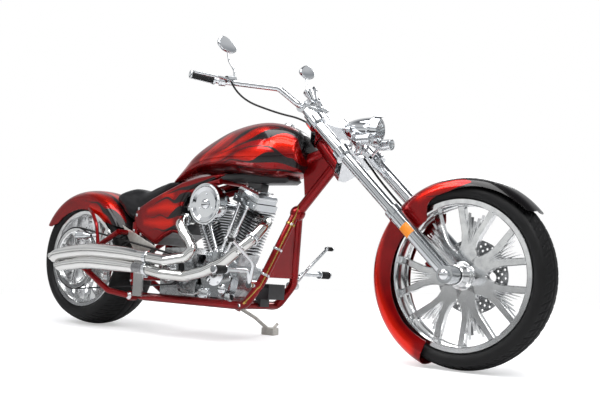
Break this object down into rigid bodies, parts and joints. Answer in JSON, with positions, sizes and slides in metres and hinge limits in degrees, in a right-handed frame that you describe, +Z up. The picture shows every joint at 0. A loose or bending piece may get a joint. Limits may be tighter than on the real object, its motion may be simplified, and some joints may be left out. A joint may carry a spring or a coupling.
{
  "type": "chopper motorcycle",
  "caption": "Long-fork custom motorcycle with raked front end, low seat, arched tank, finned V-twin engine, stacked side exhausts, belt drive, steering, turning wheels and folding side stand.",
  "frame": {"origin": "on the floor, under the centre of the overall box, as it stands parked on its side stand", "axes": "+X forwards, +Y to the rider's left, +Z up from the floor"},
  "size_m": [2.7419, 0.926, 1.315],
  "materials": {
    "paint": "gloss metallic clear coat",
    "chrome": "polished chrome plate",
    "polished_aluminium": "polished cast aluminium",
    "steel": "turned steel",
    "black_metal": "satin black",
    "rubber": "matt",
    "tyre": "matt",
    "leather": "satin black"
  },
  "bodies": {
    "chassis": {"frame": "paint", "swingarm": "paint", "rear_axle": "chrome", "fuel_tank": "paint", "seat": "leather", "oil_tank": "paint", "side_plates": "chrome", "rear_fender": "paint", "fender_struts": "paint", "rear_lamps": "chrome", "crankcase": "polished_aluminium", "cylinders": "polished_aluminium", "rocker_boxes": "chrome", "cam_cover": "chrome", "pushrod_tubes": "chrome", "primary_case": "polished_aluminium", "gearbox": "polished_aluminium", "drive_belt": "rubber", "air_cleaner": "chrome", "exhaust_pipes": "chrome", "mufflers": "chrome", "regulator": "black_metal", "foot_controls": "chrome", "foot_pegs": "chrome"},
    "fork": {"triple_trees": "chrome", "fork_tubes": "chrome", "fork_sliders": "chrome", "front_axle": "chrome", "handlebar": "chrome", "grips": "rubber", "hand_controls": "chrome", "mirrors": "chrome", "gauge": "chrome", "headlight": "chrome", "headlight_bracket": "chrome", "fork_lamps": "chrome", "front_fender": "paint", "front_caliper": "paint", "control_cable": "rubber", "brake_hose": "rubber"},
    "front_wheel": {"front_tyre": "tyre", "front_wheel": "chrome", "front_disc": "steel"},
    "rear_wheel": {"rear_tyre": "tyre", "rear_wheel": "chrome", "rear_disc": "steel", "rear_pulley": "polished_aluminium"},
    "side_stand": {"side_stand": "chrome"}
  },
  "joints": [
    {"name": "steering", "type": "hinge", "parent": "chassis", "child": "fork", "pos_m": [0.41021, -0.0207, 0.81105], "axis": [-0.6689, 0.0519, 0.7416], "range_deg": [-30, 30]},
    {"name": "front_wheel_spin", "type": "hinge", "parent": "fork", "child": "front_wheel", "pos_m": [1.02595, -0.05333, 0.34434], "axis": [0, 0.9976, -0.0698], "continuous": true},
    {"name": "rear_wheel_spin", "type": "hinge", "parent": "chassis", "child": "rear_wheel", "pos_m": [-1.03795, -0.05415, 0.3327], "axis": [0, 0.9976, -0.0698], "continuous": true},
    {"name": "side_stand_fold", "type": "hinge", "parent": "chassis", "child": "side_stand", "pos_m": [-0.18802, 0.08442, 0.13527], "axis": [0.105, 0.6072, 0.7876], "range_deg": [0, 105]}
  ]
}
